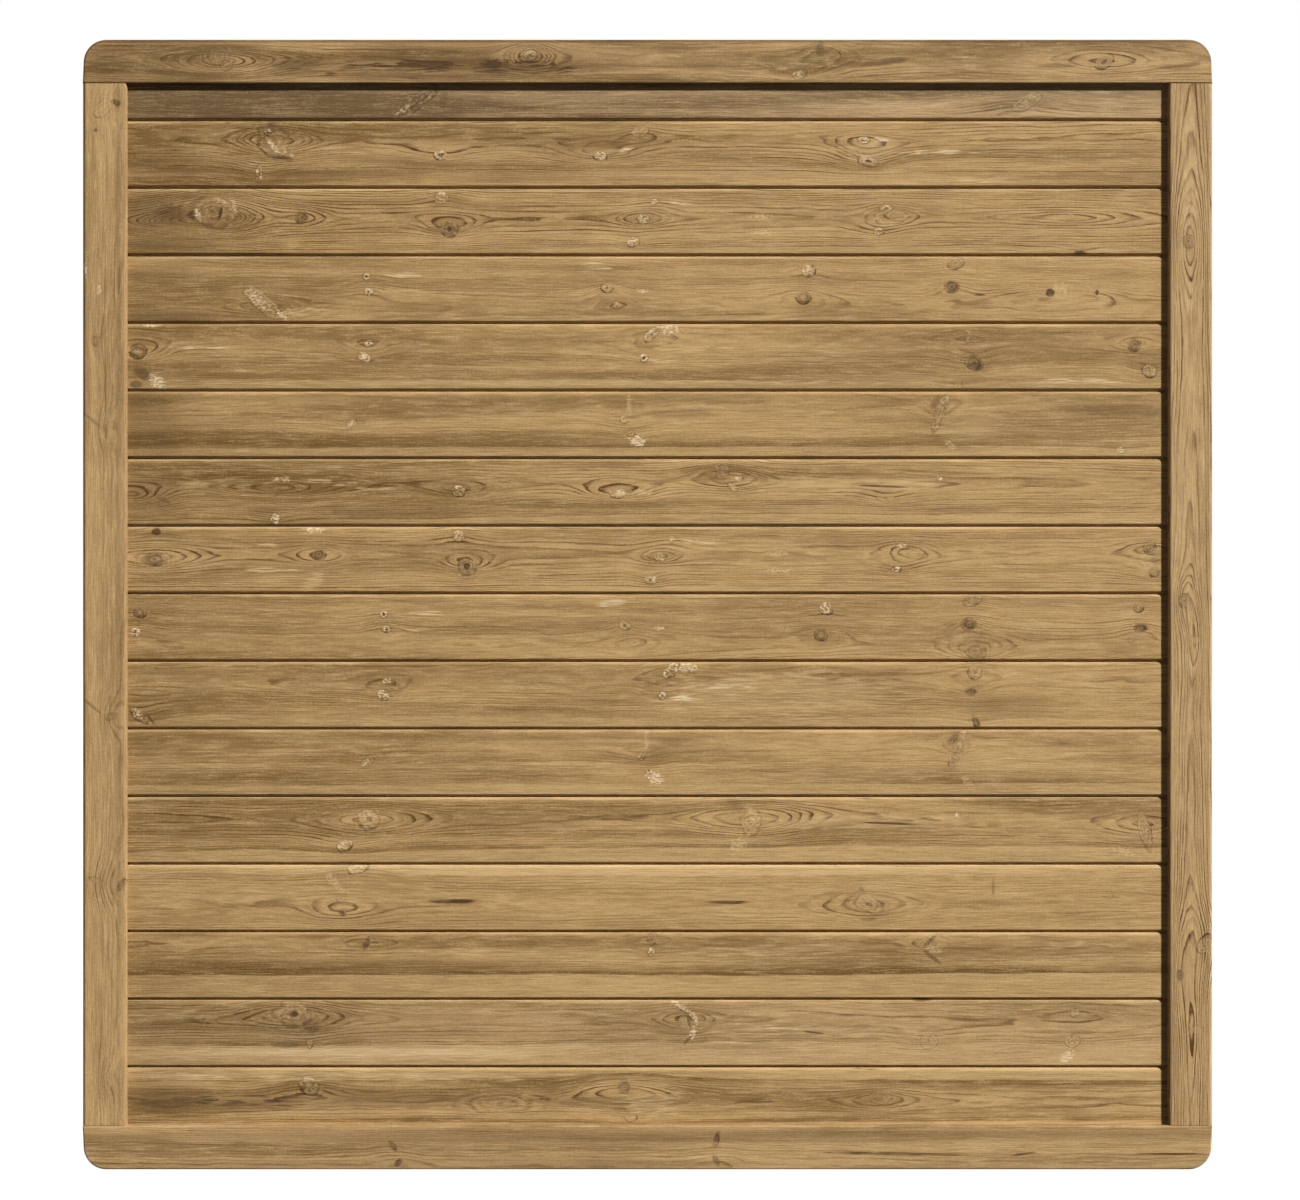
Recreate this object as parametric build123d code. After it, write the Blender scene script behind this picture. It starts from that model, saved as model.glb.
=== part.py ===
from build123d import *
import os

# Slatted fence panel: a grooved softwood frame round sixteen level tongue and groove boards.
# Millimetres. X runs along the boards, Y from front to back and Z up.
# The origin is the middle of the bottom rail's underside.

# Frame
PANEL_WIDTH = 1800.0
PANEL_HEIGHT = 1800.0
FRAME_FACE = 70.0  # width of each rail and stile, seen from the front
FRAME_DEPTH = 40.0
RAIL_ARRIS = 3.0  # rounding round the rails' front and back faces
STILE_ARRIS = 6.0  # rounding of the stiles' long edges
CORNER_RADIUS = 36.0  # outer corners, in the front view
END_LEAN = 3.0  # how far a rail's ends lean in towards its outer edge
GROOVE_DEPTH = 18.0

# Boards
BOARD_COUNT = 16
BOARD_PITCH = 108.0  # shoulder to shoulder
BOARD_THICKNESS = 18.0
BOARD_SLACK = 0.25  # between a board's face and the groove's wall
END_GAP = 3.0  # room left in the grooves for the boards to swell
TOP_ROUND = 5.5  # large rounding along each board's upper front edge
LIP_ARRIS = 2.0  # small rounding along its lower front edge
BACK_ARRIS = 1.0
LIP_GAP = 4.0  # open joint in front: the boards meet behind it
TONGUE_THICKNESS = 6.0
TONGUE_HEIGHT = 8.0
TONGUE_OFFSET = 1.5  # the tongue stands behind the middle of the board
TONGUE_SLACK = 0.2
TONGUE_TIP_GAP = 1.0

# Corner screws, one through each end of both rails, along the stile's tenon
SCREW_INSET = 46.0  # from the panel's side edge, inside the rounded corner
SCREW_SINK = 1.5  # head below the rail's edge
SCREW_LENGTH = 120.0
SHANK_RADIUS = 3.0
SHANK_CLEARANCE = 0.2
HEAD_RADIUS = 6.0
HEAD_RIM = 0.6
HEAD_CLEARANCE = 0.2
POINT_LENGTH = 8.0
SOCKET_TIP_RADIUS = 2.5
SOCKET_WAIST_RADIUS = 1.9
SOCKET_TIPS = 6
SOCKET_DEPTH = 2.5

# Worked out from the sizes above
HALF_WIDTH = PANEL_WIDTH / 2
OPENING_HALF = HALF_WIDTH - FRAME_FACE
OPENING_BOTTOM = FRAME_FACE
OPENING_TOP = PANEL_HEIGHT - FRAME_FACE
GROOVE_WIDTH = BOARD_THICKNESS + 2 * BOARD_SLACK
BOARD_LENGTH = 2 * (OPENING_HALF + GROOVE_DEPTH - END_GAP)
FIRST_BOARD_FOOT = OPENING_BOTTOM - GROOVE_DEPTH
LAST_BOARD_FOOT = FIRST_BOARD_FOOT + (BOARD_COUNT - 1) * BOARD_PITCH
LAST_BOARD_HEIGHT = OPENING_TOP + GROOVE_DEPTH - END_GAP - LAST_BOARD_FOOT


def block(x_range, y_range, z_range):
    """A plain box between two values on each axis."""
    lows, highs = zip(x_range, y_range, z_range)
    size = [high - low for low, high in zip(lows, highs)]
    return Pos(*lows) * Box(*size, align=(Align.MIN, Align.MIN, Align.MIN))


def rail_outline():
    """A rail's front view, its inner edge on local y = 0 and its rounded corners above."""
    outline = Polyline(
        (-HALF_WIDTH, 0),
        (HALF_WIDTH, 0),
        (HALF_WIDTH - END_LEAN, FRAME_FACE),
        (-HALF_WIDTH + END_LEAN, FRAME_FACE),
        close=True,
    )
    face = make_face(outline)
    corners = face.vertices().group_by(Axis.Y)[-1]
    return fillet(corners, CORNER_RADIUS)


def screw_body(shank_radius=SHANK_RADIUS, head_radius=HEAD_RADIUS, head_rise=0.0):
    """A countersunk screw pointing down, or the hole for one. Its head's top is at z = 0."""
    cone_depth = HEAD_RADIUS - SHANK_RADIUS
    seat = -HEAD_RIM - cone_depth - (SHANK_RADIUS - shank_radius)
    half_section = Polyline(
        (0, head_rise),
        (head_radius, head_rise),
        (head_radius, -HEAD_RIM + (head_radius - HEAD_RADIUS)),
        (shank_radius, seat),
        (shank_radius, -SCREW_LENGTH + POINT_LENGTH),
        (0, -SCREW_LENGTH),
        close=True,
    )
    return revolve(Plane.XZ * make_face(half_section), Axis.Z)


def screw_socket():
    """The six-pointed drive recess in a screw's head."""
    corners = []
    for i in range(2 * SOCKET_TIPS):
        radius = SOCKET_WAIST_RADIUS if i % 2 else SOCKET_TIP_RADIUS
        corners.append(Vector(radius, 0).rotate(Axis.Z, 180 * i / SOCKET_TIPS))
    return extrude(make_face(Polyline(*corners, close=True)), -SOCKET_DEPTH)


def screw_places():
    """Where the four screws go: down into the top rail's ends, and up into the bottom rail's."""
    places = []
    for side in (-1, 1):
        x = side * (HALF_WIDTH - SCREW_INSET)
        places.append(Pos(x, 0, PANEL_HEIGHT - SCREW_SINK))
        places.append(Pos(x, 0, SCREW_SINK) * Rot(180, 0, 0))
    return places


def rail():
    """A rail with its inner edge on z = 0, grooved from end to end for the boards and tenons."""
    body = extrude(Plane.XZ * rail_outline(), FRAME_DEPTH / 2, both=True)
    body = fillet(body.faces().filter_by(Axis.Y).edges(), RAIL_ARRIS)
    half_groove = GROOVE_WIDTH / 2
    return body - block((-HALF_WIDTH, HALF_WIDTH), (-half_groove, half_groove), (0, GROOVE_DEPTH))


def bored_rail(body):
    """A rail with a clearance hole and a countersink for each of its screws."""
    hole = screw_body(SHANK_RADIUS + SHANK_CLEARANCE, HEAD_RADIUS + HEAD_CLEARANCE, 2 * SCREW_SINK)
    for place in screw_places():
        body -= place * hole
    return body


def top_rail():
    return bored_rail(Pos(0, 0, OPENING_TOP) * rail())


def bottom_rail():
    return bored_rail(Pos(0, 0, OPENING_BOTTOM) * Rot(180, 0, 0) * rail())


def frame_blank():
    """The whole panel's outline as a slab: a stile's tenon ends flush with the rails' ends."""
    half_depth = FRAME_DEPTH / 2
    end_piece = extrude(Plane.XZ * rail_outline(), half_depth, both=True)
    middle = block((-HALF_WIDTH, HALF_WIDTH), (-half_depth, half_depth), (OPENING_BOTTOM, OPENING_TOP))
    top = Pos(0, 0, OPENING_TOP) * end_piece
    bottom = Pos(0, 0, OPENING_BOTTOM) * Rot(180, 0, 0) * end_piece
    return top + middle + bottom


def stile(side):
    """An upright with a groove for the boards' ends and a stub tenon into each rail's groove."""
    half_depth = FRAME_DEPTH / 2
    half_groove = GROOVE_WIDTH / 2
    foot = OPENING_BOTTOM - GROOVE_DEPTH
    head = OPENING_TOP + GROOVE_DEPTH
    body = block((OPENING_HALF, HALF_WIDTH), (-half_depth, half_depth), (foot, head))
    body = fillet(body.edges().filter_by(Axis.Z), STILE_ARRIS)
    body -= block((OPENING_HALF, OPENING_HALF + GROOVE_DEPTH), (-half_groove, half_groove), (foot, head))
    for z_range in ((foot, OPENING_BOTTOM), (OPENING_TOP, head)):
        for y_range in ((-half_depth, -half_groove), (half_groove, half_depth)):
            body -= block((OPENING_HALF, HALF_WIDTH), y_range, z_range)
    if side < 0:
        body = Rot(0, 0, 180) * body
    body &= frame_blank()
    for place in screw_places():
        body -= place * screw_body()
    return body


def board_section(height, tongued):
    """A board's end view: local x from front to back, local y up from its rear lip."""
    front = -BOARD_THICKNESS / 2
    back = BOARD_THICKNESS / 2
    tongue_front = TONGUE_OFFSET - TONGUE_THICKNESS / 2
    tongue_back = TONGUE_OFFSET + TONGUE_THICKNESS / 2
    groove_front = tongue_front - TONGUE_SLACK
    groove_back = tongue_back + TONGUE_SLACK
    groove_top = TONGUE_HEIGHT + TONGUE_TIP_GAP
    tongue = [
        (tongue_front, height),
        (tongue_front, height + TONGUE_HEIGHT),
        (tongue_back, height + TONGUE_HEIGHT),
        (tongue_back, height),
    ]
    outline = Polyline(
        (front, LIP_GAP),
        (front, height),
        *(tongue if tongued else ()),
        (back, height),
        (back, 0),
        (groove_back, 0),
        (groove_back, groove_top),
        (groove_front, groove_top),
        (groove_front, LIP_GAP),
        close=True,
    )
    face = make_face(outline)
    roundings = [((front, LIP_GAP), LIP_ARRIS), ((back, 0), BACK_ARRIS), ((back, height), BACK_ARRIS)]
    if tongued:
        roundings.append(((front, height), TOP_ROUND))
        roundings += [(tip, BACK_ARRIS) for tip in tongue[1:3]]
    for corner, radius in roundings:
        face = fillet(face.vertices().sort_by_distance(corner)[0], radius)
    return face


def board(number):
    """Board 1 stands in the bottom rail's groove; the last is ripped down to fit under the top rail."""
    last = number == BOARD_COUNT
    height = LAST_BOARD_HEIGHT if last else BOARD_PITCH
    section = Plane.YZ * board_section(height, tongued=not last)
    foot = FIRST_BOARD_FOOT + (number - 1) * BOARD_PITCH
    return Pos(0, 0, foot) * extrude(section, BOARD_LENGTH / 2, both=True)


def corner_screws():
    """The four alike screws, which share one node."""
    screw = screw_body() - screw_socket()
    return Compound(children=[place * screw for place in screw_places()])


def parts():
    made = {
        "top_rail": top_rail(),
        "bottom_rail": bottom_rail(),
        "left_stile": stile(-1),
        "right_stile": stile(1),
        "corner_screws": corner_screws(),
    }
    for number in range(1, BOARD_COUNT + 1):
        made[f"board_{number:02d}"] = board(number)
    return made


def main():
    os.makedirs("parts", exist_ok=True)
    for name, shape in parts().items():
        export_step(shape, f"parts/{name}.step")


main()
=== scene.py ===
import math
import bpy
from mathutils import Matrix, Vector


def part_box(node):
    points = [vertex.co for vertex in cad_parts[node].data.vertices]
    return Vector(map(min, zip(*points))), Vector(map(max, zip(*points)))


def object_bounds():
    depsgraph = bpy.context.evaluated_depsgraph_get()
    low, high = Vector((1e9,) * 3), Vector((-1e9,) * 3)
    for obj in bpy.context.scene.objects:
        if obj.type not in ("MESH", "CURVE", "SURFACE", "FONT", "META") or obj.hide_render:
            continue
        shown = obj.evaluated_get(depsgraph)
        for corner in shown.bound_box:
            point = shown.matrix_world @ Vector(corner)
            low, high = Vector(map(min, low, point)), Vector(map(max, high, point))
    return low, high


bl_info = {
    "name": "Slatted Fence Panel",
    "version": (1, 0, 0),
    "blender": (4, 5, 0),
    "location": "3D View > Sidebar > Fence",
    "description": "Finishes a pressure treated softwood fence panel and sets its stage",
    "category": "Material",
}

from typing import NamedTuple

import bpy
from bpy.props import FloatProperty, FloatVectorProperty, PointerProperty
from mathutils import Vector

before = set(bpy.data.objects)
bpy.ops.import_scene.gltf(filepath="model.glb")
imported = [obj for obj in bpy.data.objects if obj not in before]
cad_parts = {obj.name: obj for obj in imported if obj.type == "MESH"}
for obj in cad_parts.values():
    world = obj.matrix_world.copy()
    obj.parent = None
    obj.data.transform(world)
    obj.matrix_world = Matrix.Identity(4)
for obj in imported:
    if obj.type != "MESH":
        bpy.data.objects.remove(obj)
CAD_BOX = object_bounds()
PANEL_LOW, PANEL_HIGH = CAD_BOX

# The photo's frame, in pixels, and where the panel lies in it
PHOTO_WIDTH = 1300
PHOTO_HEIGHT = 1200
PANEL_MIDDLE_PX = 647.5
PANEL_TOP_PX = 39.4
PANEL_FOOT_PX = 1169.6
METRES_PER_PIXEL = (PANEL_HIGH.z - PANEL_LOW.z) / (PANEL_FOOT_PX - PANEL_TOP_PX)
MM = 0.001
PIXEL = METRES_PER_PIXEL / MM  # mm to a pixel of the photo
CORNER_RADIUS = 36.0  # of the panel's outline, mm
TONGUE_HEIGHT = 8.0  # above a board's shoulder, mm

# Places in the finish, mm. Each pair is where a change starts and where it is full
HALF_LENGTH = 850.0  # from a piece's middle to where its end tones are full
PLANER_PITCH = 6.5  # from one planer ripple to the next
# Where the painted highlight on each board's top rounding lies
ARRIS_HIGHLIGHT = (44.0, 49.0)  # up from a board's middle
# Painted shade, with some dirt, at the boards' left ends beside the left stile
LEFT_END_DIRT_AND_SHADE = (-640.0, -800.0)  # along a board
JOINT_DIRT_AND_SHADE = (2.6, 0.6)  # from a rail's edge
BACK_JOINT_DIRT = (2.2, 0.6)  # from a tight joint between boards
BOARD_BACK = (6.5, 8.5)  # behind a board's middle
OUTLINE_DARKENING = (6.5, 3.0)  # in from where the corners' rounding ends
OUTER_FACES = (12.0, 16.5)  # from the panel's middle plane

# How dark, pale and stained the wood gets at most
MOST_DARK = 0.93
MOST_PALE = 0.9
MOST_STAINED = 0.9
ALL_HEART = 999.0  # the heart's radius, mm, where no sapwood shows

# Lengths of the noises' grains, mm: along the piece, then across it or from ring to ring, then the third way
FINE = (38, 2.3, 5)
STREAK = (170, 7, 15)
CLOUD = (450, 24, 45)
RELIEF = (34, 1.6, 1.6)
PORES = (2.6, 1.7, 1.7)
SPECK = (5.0, 2.8, 20)
SWAY = (60, 60, 60)
BEND = (520, 70, 70)
WANDER = (90, 18, 18)
BREAKS = (150, 16, 16)
RIPPLE = (22, 14, 30)
MOTTLE = (12, 9, 30)

UPRIGHTS = ("left_stile", "right_stile")
RAILS = ("top_rail", "bottom_rail")
BOARDS = tuple(f"board_{number:02d}" for number in range(1, 17))


def shade(red, green, blue):
    """A display colour, 0 to 255, as linear light."""
    linear = []
    for value in (red, green, blue):
        value /= 255
        linear.append(value / 12.92 if value <= 0.04045 else ((value + 0.055) / 1.055) ** 2.4)
    return tuple(linear)


def swatch(name, description, *display):
    """A colour setting whose default is a display colour."""
    return FloatVectorProperty(
        name=name, description=description, subtype="COLOR", size=3, min=0, max=1, default=shade(*display),
    )


def fraction(name, description, default):
    """A setting from 0 to 1."""
    return FloatProperty(
        name=name, description=description, subtype="FACTOR", min=0, max=1, default=default,
    )


class FenceWood(bpy.types.PropertyGroup):
    """Colours and strengths that all the panel's timber shares."""

    early: swatch("Earlywood", "Soft wood between the ring lines", 180, 145, 95)
    late: swatch("Latewood", "Hard dark ring lines", 88, 58, 22)
    sap: swatch("Sapwood", "Paler, yellower wood outside the heart", 194, 160, 109)
    stain: swatch("Stain", "Grey-brown cast where the treatment went deep", 98, 70, 26)
    # Also the colour of the painted highlights on the boards' top roundings and inside their joints
    bright: swatch("Bright fibres", "Lightest streaks along the grain", 220, 189, 136)
    faded: swatch("Faded wood", "Greyer wood that some of the pieces lean towards", 174, 149, 120)
    pale: swatch("Torn grain", "Pale torn fibres and knots", 232, 211, 176)
    # Also the colour that the painted shades darken towards
    knot: swatch("Knot", "Dark knot wood and bark rims", 70, 47, 23)
    fibre: fraction("Fibre", "Contrast of the fine streaks along the grain", 0.29)
    roughness: fraction("Roughness", "Roughness of the planed wood", 0.68)
    relief: FloatProperty(
        name="Relief", description="Depth of the grain's relief", subtype="DISTANCE", unit="LENGTH",
        min=0, max=0.002, default=0.0005,
    )


class FenceStage(bpy.types.PropertyGroup):
    """Camera, lamps and background."""

    distance: FloatProperty(
        name="Camera distance", description="From the camera to the panel's front", subtype="DISTANCE",
        unit="LENGTH", min=1, max=30, default=4.5,
    )
    key_strength: FloatProperty(
        name="Key strength", description="Irradiance of the main lamp in watts per square metre",
        min=0, max=20, default=5.9,
    )
    key_across: FloatProperty(
        name="Key across", description="Sideways shift of the shadows for each unit of depth",
        min=-5, max=5, default=1.28,
    )
    key_down: FloatProperty(
        name="Key down", description="Downward shift of the shadows for each unit of depth",
        min=-5, max=5, default=1.05,
    )
    key_size: FloatProperty(
        name="Key size", description="Angle that the main lamp fills", subtype="ANGLE", unit="ROTATION",
        min=0, max=1.5, default=math.radians(4),
    )
    fill: fraction("Fill", "Level of the light from all round", 0.035)


class Knot(NamedTuple):
    """A knot. Its middle, its radii along and across the grain and its reach are in the photo's pixels."""

    x: float
    y: float
    along: float
    across: float
    dark: float = 0.0
    pale: float = 0.0
    rim: float = 0.5
    eye: float = 0.0
    turn: float = 0.0  # degrees
    swell: float = 6.0  # how far it pushes the rings out, mm
    reach: tuple = (25.0, 10.0)  # how far along and across the grain it does so


class Smear(NamedTuple):
    """A soft patch of torn, pale, stained or split wood, placed as a knot is."""

    x: float
    y: float
    along: float
    across: float
    dark: float = 0.0
    pale: float = 0.0
    broken: float = 0.7  # how far the fibres break it up
    turn: float = 0.0
    chips: bool = False  # broken up into chips instead of fibres


def blot(x, y, along, across, strength, broken=0.3, turn=0.0):
    """A dark smear: a stain, or where it is thin a slit."""
    return Smear(x, y, along, across, dark=strength, broken=broken, turn=turn)


def gleam(x, y, along, across, strength, broken=0.4, turn=0.0):
    """A pale smear."""
    return Smear(x, y, along, across, pale=strength, broken=broken, turn=turn)


def chipped(x, y, along, across, strength, turn=0.0):
    """A pale smear of small chips."""
    return Smear(x, y, along, across, pale=strength, turn=turn, chips=True)


def shifted(marks, right, down):
    """The same marks elsewhere, for a board from the same stretch of timber."""
    return [mark._replace(x=mark.x + right, y=mark.y + down) for mark in marks]


class Timber(NamedTuple):
    """How one piece was sawn, and what its front shows. Lengths in mm."""

    seed: float
    marks: tuple
    pith: tuple  # across the piece, and behind its front
    drift: float  # how far the pith moves back in each metre
    ring: float  # from one ring line to the next
    lines: float  # strength of the ring lines
    stain: float  # strength of the cloudy stain
    warp: float  # how far the rings bend
    tone: tuple  # stain at its left end or foot, its middle and its right end or head
    sap_row: float = math.nan  # row of the photo's pixels where the sapwood starts, if it's seen
    band: float = 0.4  # darkness at the heart's edge
    fade: float = 0.0  # how far its wood leans towards the faded colour
    grime: tuple = (0.0, 0.0)  # painted shade and dirt in the joint along its lower and upper edges


TIMBER = {}


def saw(node, *marks, **sizes):
    """Adds a piece to the timber: its marks, and then how it was sawn."""
    TIMBER[node] = Timber(marks=marks, **sizes)


# Marks that two boards share, since both were cut from the same stretch of timber.
# Counted from the top, these are on the third board and the eighth
THIRD_BOARD = (
    Knot(300.6, 216, 6.5, 6, dark=0.7, swell=8, reach=(23, 10)),
    Knot(441, 197, 6, 6, pale=0.5, swell=7),
    Knot(449.5, 228, 8.5, 8, dark=0.45, pale=0.2, rim=0.7, eye=0.5, swell=10, reach=(28, 13)),
    Knot(642.7, 218.6, 6, 4.5, pale=0.5, rim=0.6, eye=0.3, swell=9, reach=(23, 9)),
    Knot(633, 241, 6, 5, pale=0.6, eye=0.2, reach=(16, 8)),
    Knot(654.6, 200.7, 3.5, 3, pale=0.7, rim=0.3, swell=4),
    gleam(683, 203, 26, 3, 0.55, 0.7),
    Knot(886, 207.5, 6, 3, pale=0.6, rim=0.7, eye=0.4),
    Knot(879.6, 230.6, 5, 3.5, pale=0.6, rim=0.8, eye=0.6, swell=7),
    Knot(897, 215, 10, 5, rim=0.35),
    chipped(760, 215, 16, 3, 0.35), chipped(762, 232, 18, 3, 0.4),
)

# On the fourth and ninth boards
FOURTH_BOARD = (
    Knot(365.8, 275.8, 3.5, 3.5, pale=0.6, rim=0.8, eye=0.8, swell=5),
    Knot(368, 291, 4.5, 3.5, pale=0.7, rim=0.8, eye=0.8, swell=5),
    gleam(405, 274.5, 33, 3, 0.5, 0.7), gleam(400, 291, 31, 3, 0.3, 0.7),
    Knot(607, 287, 6, 4.5, pale=0.3, rim=0.9, eye=0.6, swell=8, reach=(21, 8)),
    Knot(617, 304.5, 5, 3.5, pale=0.4, eye=0.3, swell=7),
    gleam(597, 266, 20, 6, 0.55, 0.7), chipped(642, 290, 8, 3, 0.55),
    Knot(809, 270, 6, 7, pale=0.6, rim=1.0, turn=30, swell=7),
    Knot(804, 297, 6.5, 6, dark=0.5, rim=1.0, eye=-0.5, swell=8),
    Knot(956, 262, 8.5, 6, dark=0.25, pale=0.15, rim=0.6, turn=20, swell=5),
    Knot(952, 285.5, 8, 6, dark=0.75, swell=9, reach=(23, 9)),
)

# On the fifth and tenth boards
FIFTH_BOARD = (
    Knot(368, 342.6, 4.5, 3.5, pale=0.6, eye=0.3, swell=5),
    Knot(363.5, 357, 6.5, 4.5, pale=0.6, turn=-30),
    Knot(652, 333, 10, 5, pale=0.5, rim=0.6, eye=0.5, turn=45),
    chipped(668, 329, 15, 6, 0.65),
    Knot(644, 357.5, 4, 4, pale=0.6, rim=0.9, eye=0.9),
    gleam(663, 360, 21, 3, 0.5, 0.7), gleam(700, 348, 49, 3, 0.3, 0.7),
)

# On the sixth and eleventh boards
SIXTH_BOARD = (
    Knot(350, 424, 7, 3.5, pale=0.4, rim=0.3, turn=35, swell=5),
    gleam(366, 411, 22, 3, 0.15, 0.8, 40),
    Knot(624, 419, 3.5, 3.5, pale=0.45, rim=0.8, eye=0.3, swell=5),
    chipped(629, 404, 3, 15, 0.35), chipped(637, 440, 12, 8, 0.7, -25),
    Knot(631, 433, 4, 4, rim=0.9, eye=0.6, swell=4),
    Knot(940.5, 412, 5, 20, dark=0.25, pale=0.25, rim=0.4, turn=-20, reach=(15, 16)),
    blot(936, 402, 5, 10, 0.45, 0.3, -35),
    Smear(950, 444, 10, 4, pale=0.4, dark=0.1, turn=-35, chips=True),
    gleam(972, 425, 45, 24, 0.15, 0.3),
)

saw(
    "board_16",
    Knot(414, 102, 26, 7, dark=0.25, pale=0.12, rim=0.45, turn=38),
    chipped(403, 109, 15, 3, 0.5, 33), blot(443, 99, 5, 12, 0.35, 0.3, -10),
    blot(250, 104, 156, 26, 0.22),
    Knot(1029, 100, 16, 6, pale=0.2, rim=0.3, turn=30, swell=10, reach=(56, 13)),
    gleam(1060, 103, 74, 19, 0.15), chipped(425, 97, 12, 3, 0.35, 42),
    blot(416, 103, 20, 2, 0.5, 0.4, 38), gleam(810, 104, 180, 12, 0.12, 0.3),
    blot(290, 117, 170, 3, 0.3, 0.4), blot(520, 105, 150, 18, 0.08),
    seed=1.7, pith=(-60, 26), drift=6, ring=5.0, lines=0.7, stain=0.5, warp=6,
    tone=(1.1, 0.68, 0.02), fade=0.35,
)
saw(
    "board_15",
    Knot(273, 140, 17, 14, dark=0.22, pale=0.1, rim=0.75, turn=-50, swell=14, reach=(40, 22)),
    Knot(267, 131, 3.5, 3.5, pale=0.45, rim=0.8, eye=0.3, swell=0),
    chipped(273, 146, 13, 3, 0.7, -50), chipped(287, 152, 9, 3, 0.5, -20),
    blot(284, 157, 11, 3, 0.7, 0.3, -15),
    Knot(258.4, 173, 3.5, 8.5, pale=0.6, rim=0.8, eye=0.7, swell=8, reach=(25, 11)),
    gleam(344, 146, 26, 4, 0.3, 0.9, 6), gleam(365, 150, 18, 4, 0.3, 0.9),
    blot(360, 173, 98, 6, 0.5, 0.5), blot(520, 178, 98, 5, 0.3, 0.5),
    Knot(440, 154, 6.5, 5, pale=0.6, rim=0.6, eye=0.7, swell=10, reach=(44, 11)),
    Knot(640, 131, 8.5, 5, pale=0.2, rim=0.6, turn=15, swell=5),
    gleam(611, 149.5, 28, 3, 0.7, 0.7, 3),
    Knot(600, 155, 6.5, 4.5, pale=0.6, rim=0.9, eye=0.5, swell=14, reach=(47, 11)),
    Knot(864, 139.5, 6, 3.5, pale=0.6, rim=0.8, eye=0.4, swell=5),
    gleam(880, 138, 21, 3, 0.65, 0.7),
    Knot(868, 160, 9.5, 5, pale=0.3, rim=0.8, eye=0.9, turn=-15, swell=14, reach=(38, 13)),
    gleam(940, 151, 49, 3, 0.65, 0.7), gleam(985, 178, 41, 5, 0.25, 0.7),
    blot(180, 166, 100, 16, 0.22, 0.5), gleam(866, 150, 26, 17, 0.22, 0.2),
    gleam(850, 181, 330, 4, 0.22, 0.2), blot(600, 170, 200, 4, 0.12, 0.6),
    blot(375, 157, 60, 6, 0.25, 0.6), gleam(200, 133, 90, 8, 0.12, 0.5), gleam(260, 165, 30, 9, 0.12),
    blot(510, 152, 150, 26, 0.08),
    seed=2.9, pith=(22, 24), drift=-10, ring=4.6, lines=1.2, stain=0.4, warp=7,
    tone=(0.54, 0.2, 0.04),
)
saw(
    "board_14",
    Knot(213, 211, 22, 14.5, dark=0.12, pale=0.12, swell=26, reach=(52, 26)),
    Knot(212, 211, 8, 6.5, dark=0.22, pale=0.1, rim=0.35, swell=0),
    Knot(172, 222, 3, 3, rim=0.0, swell=15, reach=(52, 11)),
    blot(219.5, 212, 2, 8, 1.0, 0.1, -12), chipped(233, 205, 4, 9, 0.55, 25),
    chipped(197, 214, 4, 9, 0.65, 25), chipped(222, 201, 8, 3, 0.4, -30),
    blot(140, 212, 66, 22, 0.5, 0.4), blot(160, 243, 80, 9, 0.5, 0.5),
    *THIRD_BOARD,
    Knot(1072, 215, 3, 3, rim=0.1, swell=10, reach=(82, 10)),
    Knot(1081, 253, 6, 3.5, dark=1.0, rim=1.0),
    gleam(1130, 200, 33, 12, 0.15, 0.7), blot(215, 253, 110, 2.5, 0.6, 0.5),
    blot(175, 213, 26, 10, 0.3, 0.6, -10), gleam(294, 243, 14, 7, 0.2, 0.7, 40),
    gleam(193, 189, 22, 2, 0.5, 0.8), blot(200, 199, 34, 5, 0.3, 0.5, -8),
    gleam(800, 249, 440, 4, 0.22, 0.2), gleam(770, 218, 160, 26, 0.07),
    seed=4.3, pith=(4, 24), drift=8, ring=5.0, lines=1.2, stain=0.3, warp=6, tone=(0.42, 0.06, 0.0),
)
saw(
    "board_13",
    Knot(262, 302, 24, 8, pale=0.2, rim=0.3, turn=-42, swell=8, reach=(34, 18)),
    chipped(257, 300, 20, 7, 0.3, -42), chipped(281, 315, 9, 3, 0.7, -45),
    gleam(302, 311, 28, 7, 0.3, 0.7), blot(165, 316, 60, 9, 0.4, 0.5), blot(160, 272, 60, 12, 0.2, 0.5),
    gleam(255, 290, 40, 18, 0.12),
    *FOURTH_BOARD,
    Knot(1051.5, 292, 4, 4, dark=1.0, rim=0.8, swell=12, reach=(63, 13)),
    chipped(1060, 288, 13, 8, 0.4), blot(981, 294, 7, 1.5, 0.9, 0.2),
    Knot(1098, 292, 2, 3, dark=1.0, swell=3),
    gleam(640, 318, 340, 4, 0.22, 0.2),
    seed=5.1, pith=(-30, 32), drift=9, ring=4.6, lines=0.6, stain=0.3, warp=6, tone=(0.4, 0.2, 0),
)
saw(
    "board_12",
    Knot(136.8, 351, 8, 6.5, dark=0.5, pale=0.15, rim=0.9, eye=-0.4, swell=14, reach=(30, 16)),
    gleam(195, 347, 38, 1.6, 0.75, 0.6), chipped(155, 381, 14, 8, 0.7, -35),
    blot(141, 373, 14, 7, 0.7, 0.4, -30), blot(135, 384, 8, 5, 0.6), chipped(150, 324, 12, 3, 0.65),
    *FIFTH_BOARD,
    Knot(975, 362, 9.5, 7, dark=0.7, turn=-20, swell=9, reach=(28, 13)),
    Knot(968.5, 335.6, 3.5, 6, dark=0.2, pale=0.2, rim=0.7, swell=4),
    Knot(958.7, 384.7, 3.5, 6.5, pale=0.15, rim=0.8, turn=-20, swell=4),
    Knot(1136, 344, 6.5, 6.5, dark=0.65, rim=0.6, swell=7),
    Knot(1150.5, 370, 7, 6.5, pale=0.3, rim=1.0, turn=-30, swell=10),
    gleam(1088, 380, 57, 4, 0.5, 0.9), gleam(540, 382, 440, 4, 0.22), gleam(850, 378, 140, 6, 0.16, 0.3),
    gleam(870, 350, 90, 16, 0.08, 0.5),
    seed=6.4, pith=(24, 32), drift=-7, ring=5.0, lines=0.6, sap_row=380, band=0.2, stain=0.3,
    warp=5, tone=(0.41, 0.27, 0.25),
)
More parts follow.
